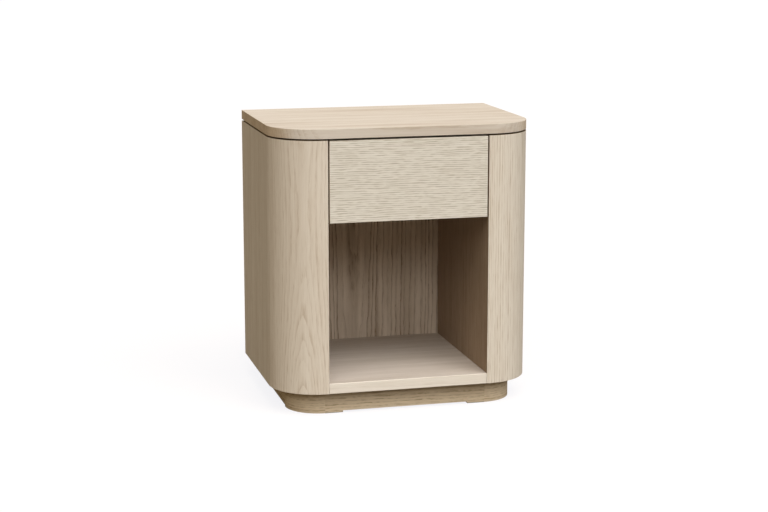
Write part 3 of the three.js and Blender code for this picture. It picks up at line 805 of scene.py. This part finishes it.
def tint_ends(tree, colour, normal, lay):
    """Warms and darkens a colour on the end grain of a board: partly the real darker end grain, partly
    painted shade on the drawer front's edges in its side gaps.
    """
    facing = add(tree, "ShaderNodeMapping", {"Vector": normal, "Rotation": lay})
    along = add(tree, "ShaderNodeSeparateXYZ", {0: facing.outputs[0]}).outputs["Z"]
    end = ramp(tree, reckon(tree, "ABSOLUTE", along), END_GRAIN)
    return blend_colours(tree, end, colour, END_TINT_AND_SHADE, "MULTIPLY")


def wood(
    name, tones, lay, rings, heart, seed, lines, clouds, fibres, along_bend=False, shade_gap_edge=False
):
    """Sawn and lacquered wood, its figure laid along a board whose heart is at (across, through)."""
    made, tree, shader, where = new_material(name)
    pale, dark, worn_and_lit_tone = tones
    laid = {
        "Vector": where["UV" if along_bend else "Object"],
        "Rotation": lay,
        "Location": (-heart[0], -heart[1], 0),
    }
    values = {
        "Board": add(tree, "ShaderNodeMapping", laid).outputs[0],
        "Seed": seed,
        "Pale": pale,
        "Dark": dark,
        "Line Strength": lines,
        "Cloud Strength": clouds,
        "Fibre Strength": fibres,
        **rings,
    }
    figure = add(tree, "ShaderNodeGroup", values, node_tree=board_figure)
    # Painted highlight with scuffing: the arrises are blended towards the lighter arris tone
    arris_mask = add(tree, "ShaderNodeGroup", {"Place": where["Object"]}, node_tree=arris_wear_and_highlight)
    lit_and_worn_amount = reckon(tree, "MULTIPLY", arris_mask.outputs["Mask"], ARRIS_SHARE)
    colour = blend_colours(tree, lit_and_worn_amount, figure.outputs["Colour"], worn_and_lit_tone)
    if not along_bend:
        colour = tint_ends(tree, colour, where["Normal"], lay)
    # Painted shade: the upward edges inside the gap under the top turn dark brown
    if shade_gap_edge:
        edge = {"Place": where["Object"], "Facing": where["Normal"]}
        stained = add(tree, "ShaderNodeGroup", edge, node_tree=gap_painted_shade).outputs["Mask"]
        colour = blend_colours(tree, stained, colour, GAP_SHADE_COLOUR)
    tree.links.new(colour, shader.inputs["Base Color"])
    tree.links.new(figure.outputs["Roughness"], shader.inputs["Roughness"])
    emboss(tree, shader, figure.outputs["Height"], WOOD_EMBOSS, PORE_DEPTH)
    shader.inputs["Specular IOR Level"].default_value = 0.0
    return made


# Steel: plating clouds, drawing lines and bright arrises. Lines and clouds add roughness of their
# own, on average MEAN_ADDED
PLATING_SPOTS = (130, 130, 130)
DRAWN_ALONG = (900, 6, 900)
TURNED = (500, 500, 500)
STEEL_ARRIS_WIDTH = 0.4 * MM
DULL_SHARE = 0.82
BRIGHT_SHARE = 1.15
LINES_ROUGHNESS = 0.16
CLOUDS_ROUGHNESS = 0.14
MEAN_ADDED = 0.15
STEEL_EMBOSS = 0.2
LINE_DEPTH = 0.05 * MM
METALLIC = 0.95


def metal(name, colour, roughness, brushing):
    """Bare or plated steel: faint drawing lines along the part, cloudy plating, bright arrises."""
    made, tree, shader, where = new_material(name)
    lines = speckle(tree, where["Object"], brushing, detail=2.0)
    clouds = speckle(tree, where["Object"], PLATING_SPOTS, detail=3.0, roughness=0.6)
    edge = {"Place": where["Object"], "Width": STEEL_ARRIS_WIDTH}
    arris_mask = add(tree, "ShaderNodeGroup", edge, node_tree=arris_wear_and_highlight)
    dull = srgb(*[DULL_SHARE * level for level in colour])
    bright = srgb(*[min(BRIGHTEST, BRIGHT_SHARE * level) for level in colour])
    plated = blend_colours(tree, clouds, dull, srgb(*colour))
    plated = blend_colours(tree, arris_mask.outputs["Mask"], plated, bright)
    tree.links.new(plated, shader.inputs["Base Color"])
    least = roughness - MEAN_ADDED
    rough = reckon(tree, "MULTIPLY_ADD", clouds, CLOUDS_ROUGHNESS, least)
    rough = reckon(tree, "MULTIPLY_ADD", lines, LINES_ROUGHNESS, rough)
    tree.links.new(rough, shader.inputs["Roughness"])
    emboss(tree, shader, lines, STEEL_EMBOSS, LINE_DEPTH)
    shader.inputs["Metallic"].default_value = METALLIC
    return made


# The stained spacer, its grain running across the cabinet
SPACER_GRAIN = (9, 300, 300)
SPACER_BLOTCHES = (18, 18, 18)
SPACER_DARK = srgb(22, 17, 12)
SPACER_PALE = srgb(52, 42, 32)
SPACER_BLOTCH = srgb(16, 12, 9)
BLOTCH_SHARE = 0.4
SPACER_ROUGHNESS = 0.65
ROUGHER_GRAIN = 0.2
SPACER_EMBOSS = 0.3


def stained_board(name):
    """The spacer under the top: sanded and stained nearly black."""
    made, tree, shader, where = new_material(name)
    grain = speckle(tree, where["Object"], SPACER_GRAIN, detail=2.0)
    blotches = speckle(tree, where["Object"], SPACER_BLOTCHES, detail=2.0)
    stain = blend_colours(tree, grain, SPACER_DARK, SPACER_PALE)
    blotched = reckon(tree, "MULTIPLY", blotches, BLOTCH_SHARE)
    stain = blend_colours(tree, blotched, stain, SPACER_BLOTCH)
    tree.links.new(stain, shader.inputs["Base Color"])
    rough = reckon(tree, "MULTIPLY_ADD", grain, ROUGHER_GRAIN, SPACER_ROUGHNESS)
    tree.links.new(rough, shader.inputs["Roughness"])
    emboss(tree, shader, grain, SPACER_EMBOSS, PORE_DEPTH)
    return made


# The felt of the glides
TUFT_SPOTS = (1500, 1500, 1500)
PATCH_SPOTS = (120, 120, 120)
FELT_DARK = srgb(92, 98, 84)
FELT_PALE = srgb(150, 156, 140)
FELT_PATCH = srgb(110, 108, 92)
PATCH_SHARE = 0.35
FELT_ROUGHNESS = 0.82
ROUGHER_TUFTS = 0.15
FELT_EMBOSS = 0.6
TUFT_DEPTH = 0.3 * MM
FELT_SHEEN = 0.35


def felt(name):
    """Pressed grey-green felt."""
    made, tree, shader, where = new_material(name)
    tufts = speckle(tree, where["Object"], TUFT_SPOTS, detail=3.0, roughness=0.7)
    patches = speckle(tree, where["Object"], PATCH_SPOTS, detail=2.0)
    shade = blend_colours(tree, tufts, FELT_DARK, FELT_PALE)
    patched = reckon(tree, "MULTIPLY", patches, PATCH_SHARE)
    shade = blend_colours(tree, patched, shade, FELT_PATCH)
    tree.links.new(shade, shader.inputs["Base Color"])
    rough = reckon(tree, "MULTIPLY_ADD", tufts, ROUGHER_TUFTS, FELT_ROUGHNESS)
    tree.links.new(rough, shader.inputs["Roughness"])
    emboss(tree, shader, tufts, FELT_EMBOSS, TUFT_DEPTH)
    shader.inputs["Sheen Weight"].default_value = FELT_SHEEN
    return made


# Pale wood, darker lines, and the lighter arris colour of each kind of board, a painted highlight with
# scuffing
TOP_TONES = (srgb(218, 206, 191), srgb(195, 177, 156), srgb(228, 220, 205))
LEFT_TONES = (srgb(231, 219, 202), srgb(188, 166, 140), srgb(243, 236, 221))
RIGHT_TONES = (srgb(236, 226, 210), srgb(192, 171, 146), srgb(248, 243, 230))
# Painted shade: the niche walls are toned darker than the outside of the columns, for the shade inside
# the niche
SHADED_WALL_TONES = (srgb(172, 151, 130), srgb(136, 116, 95), srgb(198, 183, 166))
# Painted shade: the shelves are toned darker for the shade inside the cabinet; the lipping keeps a
# lighter tone
SHADED_SHELF_TONES = (srgb(203, 191, 179), srgb(168, 154, 135), srgb(241, 235, 226))
LIPPING_TONES = (srgb(244, 234, 220), srgb(205, 190, 168), srgb(252, 248, 240))
DRAWER_TONES = (srgb(239, 232, 219), srgb(192, 180, 160), srgb(252, 248, 240))
BACK_TONES = (srgb(225, 209, 190), srgb(141, 119, 94), srgb(240, 227, 210))
PLINTH_TONES = (srgb(226, 206, 176), srgb(168, 144, 110), srgb(236, 219, 192))
BOX_TONES = (srgb(226, 211, 184), srgb(196, 174, 138), srgb(236, 224, 200))

# How the rings of each cut of wood run: their width, wander and ripple are in metres, and the
# break rate is to the metre along the grain
STRAIGHT = {"Ring Width": 0.0050, "Taper": 0.02, "Wander": 0.004, "Ripple": 0.0024}
FLAT_CUT = {
    "Ring Width": 0.0048,
    "Taper": 0.17,
    "Bow": -0.215,
    "Wander": 0.008,
    "Ripple": 0.0040,
    "Unevenness": 1.6,
}
BROAD = {
    "Ring Width": 0.00925,
    "Taper": -0.0615,
    "Wander": 0.012,
    "Ripple": 0.0060,
    "Unevenness": 2.4,
    "Breaks": 0.45,
    "Sharpness": 1.4,
    "Heart Shade": 0.8,
}
STREAKY = {
    "Ring Width": 0.0039,
    "Taper": 0.03,
    "Wander": 0.006,
    "Ripple": 0.0041,
    "Unevenness": 0.35,
    "Breaks": 0.85,
    "Break Rate": 55.0,
    "Sharpness": 1.2,
}
FINE = {"Ring Width": 0.0030, "Taper": 0.02, "Wander": 0.004}
COARSE = {
    "Ring Width": 0.0050,
    "Taper": 0.02,
    "Ripple": 0.006,
    "Unevenness": 1.0,
    "Breaks": 1.0,
    "Break Rate": 100.0,
}

top_wood = wood(
    "ash_top", TOP_TONES, LYING_ACROSS, STRAIGHT,
    heart=(0.33, 0.45), seed=1.3, lines=0.7, clouds=1.8, fibres=0.6,
)
left_skin_wood = wood(
    "ash_column_left", LEFT_TONES, ROUND_BEND_UP, FLAT_CUT,
    heart=(0.102, -0.004), seed=2.1, lines=0.56, clouds=0.5, fibres=0.5,
    along_bend=True, shade_gap_edge=True,
)
right_skin_wood = wood(
    "ash_column_right", RIGHT_TONES, ROUND_BEND_UP, STRAIGHT,
    heart=(0.60, 0.01), seed=5.7, lines=0.68, clouds=0.4, fibres=0.5,
    along_bend=True, shade_gap_edge=True,
)
# Painted shade: the niche walls and the shelves below take the darker tones
shaded_wall_wood = wood(
    "ash_niche_wall", SHADED_WALL_TONES, UPRIGHT_SIDEWAYS, STRAIGHT,
    heart=(-0.5, 0.02), seed=8.2, lines=0.9, clouds=0.4, fibres=0.8,
    shade_gap_edge=True,
)
shaded_shelf_wood = wood(
    "ash_shelf", SHADED_SHELF_TONES, LYING_ACROSS, STRAIGHT,
    heart=(0.5, -0.3), seed=3.4, lines=0.4, clouds=0.9, fibres=0.4,
)
lipping_wood = wood(
    "ash_lipping", LIPPING_TONES, LYING_ACROSS, STRAIGHT,
    heart=(0.3, -0.2), seed=9.7, lines=0.4, clouds=0.4, fibres=0.4,
)
drawer_wood = wood(
    "ash_drawer_front", DRAWER_TONES, STANDING_ACROSS, STREAKY,
    heart=(-0.25, 0.02), seed=4.6, lines=1.2, clouds=0.1, fibres=0.4,
)
back_wood = wood(
    "ash_back_panel", BACK_TONES, UPRIGHT, BROAD,
    heart=(-0.026, 0.135), seed=17.6, lines=0.75, clouds=0.9, fibres=0.3,
)
plinth_wood = wood(
    "oak_plinth", PLINTH_TONES, STANDING_ACROSS, COARSE,
    heart=(-0.3, 0.1), seed=7.5, lines=0.85, clouds=0.9, fibres=0.7,
)
plinth_side_wood = wood(
    "oak_plinth_side", PLINTH_TONES, STANDING_BACK, COARSE,
    heart=(-0.3, 0.1), seed=9.1, lines=0.85, clouds=0.9, fibres=0.7,
)
plinth_bend_wood = wood(
    "oak_plinth_bend", PLINTH_TONES, ROUND_BEND_ACROSS, COARSE,
    heart=(-0.3, 0.1), seed=3.8, lines=0.85, clouds=0.9, fibres=0.7,
    along_bend=True,
)
box_side_wood = wood(
    "box_wood_side", BOX_TONES, STANDING_BACK, FINE,
    heart=(-0.2, 0.1), seed=1.9, lines=0.3, clouds=0.4, fibres=0.3,
)
box_end_wood = wood(
    "box_wood_end", BOX_TONES, STANDING_ACROSS, FINE,
    heart=(-0.2, 0.1), seed=2.7, lines=0.3, clouds=0.4, fibres=0.3,
)
box_flat_wood = wood(
    "box_wood_flat", BOX_TONES, LYING_BACK, FLAT_CUT,
    heart=(0.05, 0.03), seed=5.2, lines=0.35, clouds=0.4, fibres=0.3,
)
spacer_finish = stained_board("stained_spacer")
felt_finish = felt("grey_felt")
runner_finish = metal("zinc_plate", (196, 199, 203), 0.38, DRAWN_ALONG)
cage_finish = metal("cage_steel", (150, 153, 156), 0.42, DRAWN_ALONG)
screw_finish = metal("screw_steel", (186, 182, 168), 0.36, TURNED)


def dress(piece, body, slot, finish, *nodes):
    """Gives a piece its finish, hangs it on the body it moves with, and hides the nodes it stands for.
    """
    piece.data.materials.clear()
    piece.data.materials.append(finish)
    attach(piece, body)
    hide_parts(*nodes)


# The top, the boards behind it, and the drawer's front
top = rounded_slab("top_board", "top_panel", CORNER_RADIUS, EASE_TOP)
dress(top, "cabinet", "ash_veneer", top_wood, "top_panel")

divider = board("drawer_shelf_board", "drawer_divider", EASE_BOARD)
dress(divider, "cabinet", "ash_veneer", shaded_shelf_wood, "drawer_divider")
carcass_top = board("upper_shelf_board", "carcass_top", EASE_BOARD)
dress(carcass_top, "cabinet", "ash_veneer", shaded_shelf_wood, "carcass_top")
rear_rail = board("plinth_rear_board", "plinth_back_rail", EASE_PLINTH)
dress(rear_rail, "cabinet", "plinth_veneer", plinth_wood, "plinth_back_rail")
face = drawer_front_board("drawer_face", "drawer_front")
dress(face, "drawer", "drawer_front_veneer", drawer_wood, "drawer_front")

# The niche floor: a board with a lipping on its front edge
shelf_low, shelf_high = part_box("niche_floor")
lipping_high = Vector((shelf_high.x, shelf_low.y + LIPPING, shelf_high.z))
core_low = Vector((shelf_low.x, shelf_low.y + LIPPING, shelf_low.z))
lipping = lipping_strip("niche_shelf_lipping", shelf_low, lipping_high)
dress(lipping, "cabinet", "ash_veneer", lipping_wood, "niche_floor")
core = round_arrises(box_piece("niche_shelf_board", core_low, shelf_high), EASE_JOINT)
dress(core, "cabinet", "ash_veneer", shaded_shelf_wood, "niche_floor")

rail = front_rail("plinth_front_board", "plinth_front_rail")
dress(rail, "cabinet", "plinth_veneer", plinth_wood, "plinth_front_rail")

# The pieces that the cabinet and the drawer have on both hands
SKINS = {"left": left_skin_wood, "right": right_skin_wood}
for hand in HANDS:
    skin = bent_skin(f"column_skin_{hand}", hand)
    dress(skin, "cabinet", "ash_veneer", SKINS[hand], f"outer_side_{hand}")
    wall = niche_wall(f"niche_wall_{hand}", hand)
    dress(wall, "cabinet", "ash_veneer", shaded_wall_wood, f"inner_side_{hand}")
    foot = plinth_foot(f"plinth_bend_{hand}", hand)
    dress(foot, "cabinet", "plinth_veneer", plinth_bend_wood, f"plinth_corner_{hand}")
    side = side_rail(f"plinth_side_board_{hand}", f"plinth_side_{hand}")
    dress(side, "cabinet", "plinth_veneer", plinth_side_wood, f"plinth_side_{hand}")
    box_side = box_board(f"box_side_board_{hand}", f"drawer_box_{hand}")
    dress(box_side, "drawer", "box_wood", box_side_wood, f"drawer_box_{hand}")
    for end in ("front", "back"):
        pad = board(f"felt_pad_{end}_{hand}", f"glide_{end}_{hand}", EASE_FELT)
        dress(pad, "cabinet", "glide_felt", felt_finish, f"glide_{end}_{hand}")

for end in ("front", "back"):
    box_end = box_board(f"box_end_board_{end}", f"drawer_box_{end}")
    dress(box_end, "drawer", "box_wood", box_end_wood, f"drawer_box_{end}")

# The screws, each kind made once: radii of shank and head, height of the head and length in
# millimetres, and whether the head is countersunk
SCREWS = {
    "back": (1.75, 3.75, 0.0, 30.0, True),
    "top": (2.25, 4.5, 2.4, 30.0, False),
    "front": (2.0, 4.0, 2.4, 22.0, False),
    "runner": (1.75, 3.4, 0.9, 11.0, False),
    "box": (1.75, 3.4, 2.0, 10.0, False),
}
blanks = {}
for kind, (*sizes_in_mm, countersunk) in SCREWS.items():
    sizes_of_kind = [size * MM for size in sizes_in_mm]
    blanks[kind] = screw_blank(f"screw_{kind}", *sizes_of_kind, countersunk)

for hand, side in HANDS.items():
    seats = [("top", f"top_screw_{hand}", (0, 0, 1), "cabinet")]
    for level in ("bottom", "top"):
        seats.append(("back", f"back_screw_{level}_{hand}", (0, -1, 0), "cabinet"))
    seats.append(("front", f"drawer_front_screw_{hand}", (0, -1, 0), "drawer"))
    for end in ("front", "back"):
        seats.append(("runner", f"runner_screw_{end}_{hand}", (side, 0, 0), "cabinet"))
        seats.append(("box", f"box_screw_{end}_{hand}", (-side, 0, 0), "drawer"))
    for kind, node, aim, body in seats:
        screw = screw_at(blanks[kind], f"cross_{node}", node, aim)
        dress(screw, body, "screw_steel", screw_finish, node)
for blank in blanks.values():
    bpy.data.objects.remove(blank)

# The nodes that are shown in their own shape, with a finish from here
KEPT_NODES = {
    "shadow_gap_plate": spacer_finish,
    "back_panel": back_wood,
    "drawer_bottom": box_flat_wood,
}
for hand in HANDS:
    KEPT_NODES[f"column_cap_{hand}"] = box_flat_wood
    KEPT_NODES[f"column_base_{hand}"] = box_flat_wood
    KEPT_NODES[f"plinth_gusset_front_{hand}"] = box_flat_wood
    KEPT_NODES[f"plinth_gusset_back_{hand}"] = box_flat_wood
    for member in ("cabinet", "middle", "drawer"):
        KEPT_NODES[f"runner_{member}_member_{hand}"] = runner_finish
    for row in ("outer", "inner"):
        KEPT_NODES[f"ball_cage_{row}_{hand}"] = cage_finish
for node, finish in KEPT_NODES.items():
    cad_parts[node].material_slots[0].material = finish


# The floor, the light and the camera

def seen_rays(tree):
    """1 for the rays that show the background: to the camera, in gloss and through glass."""
    rays = tree.nodes.new("ShaderNodeLightPath").outputs
    seen = reckon(tree, "MAXIMUM", rays["Is Camera Ray"], rays["Is Glossy Ray"])
    return reckon(tree, "MAXIMUM", seen, rays["Is Transmission Ray"])


def paint_floor():
    """A pale floor that takes shadows, and glows only for the rays that show the background."""
    made, tree, shader, _ = new_material("pale_floor")
    shader.inputs["Base Color"].default_value = FLOOR_COLOUR
    shader.inputs["Roughness"].default_value = FLOOR_ROUGHNESS
    shader.inputs["Specular IOR Level"].default_value = 0.0
    glow = add(tree, "ShaderNodeEmission", {"Color": GLOW_COLOUR, "Strength": FLOOR_GLOW})
    hidden = add(tree, "ShaderNodeEmission", {"Strength": 0.0})
    choice = {0: seen_rays(tree), 1: hidden.outputs[0], 2: glow.outputs[0]}
    lift = add(tree, "ShaderNodeMixShader", choice)
    both = add(tree, "ShaderNodeAddShader", {0: shader.outputs[0], 1: lift.outputs[0]})
    tree.links.new(both.outputs[0], tree.nodes["Material Output"].inputs["Surface"])
    return made


def light_room():
    """A faint warm light from all sides, and white where the background is seen."""
    world = bpy.data.worlds.new("studio")
    bpy.context.scene.world = world
    world.use_nodes = True
    tree = world.node_tree
    room = tree.nodes["Background"]
    room.inputs["Color"].default_value = ROOM_COLOUR
    room.inputs["Strength"].default_value = ROOM_STRENGTH
    white = add(tree, "ShaderNodeBackground", {"Color": WHITE, "Strength": 1.0})
    choice = {0: seen_rays(tree), 1: room.outputs[0], 2: white.outputs[0]}
    pick = add(tree, "ShaderNodeMixShader", choice)
    tree.links.new(pick.outputs[0], tree.nodes["World Output"].inputs["Surface"])


def hang_lamp(name, stand, strength, spread, tint):
    """A soft sun lamp that shines on the cabinet from the direction of its stand."""
    lamp = bpy.data.lights.new(name, "SUN")
    lamp.color = tint
    lamp.energy = strength
    lamp.angle = math.radians(spread)
    hung = bpy.data.objects.new(name, lamp)
    hung.rotation_euler = (-Vector(stand)).to_track_quat("-Z", "Y").to_euler()
    bpy.context.scene.collection.objects.link(hung)


bpy.ops.object.select_all(action="DESELECT")
bpy.ops.mesh.primitive_plane_add(size=FLOOR_SIZE, location=(0, 0, 0))
floor = bpy.context.object
floor.name = "floor"
floor.data.materials.append(paint_floor())

light_room()
for name, settings in LAMPS.items():
    hang_lamp(name, *settings)

lens = bpy.data.cameras.new("camera")
lens.sensor_width = SENSOR_WIDTH
lens.lens = FOCAL_LENGTH
camera = bpy.data.objects.new("camera", lens)
camera.location = CAMERA_PLACE
camera.rotation_euler = (math.radians(90 - CAMERA_DIP), 0, math.radians(-CAMERA_YAW))
bpy.context.scene.collection.objects.link(camera)
bpy.context.scene.camera = camera
bpy.context.scene.view_settings.view_transform = "Standard"
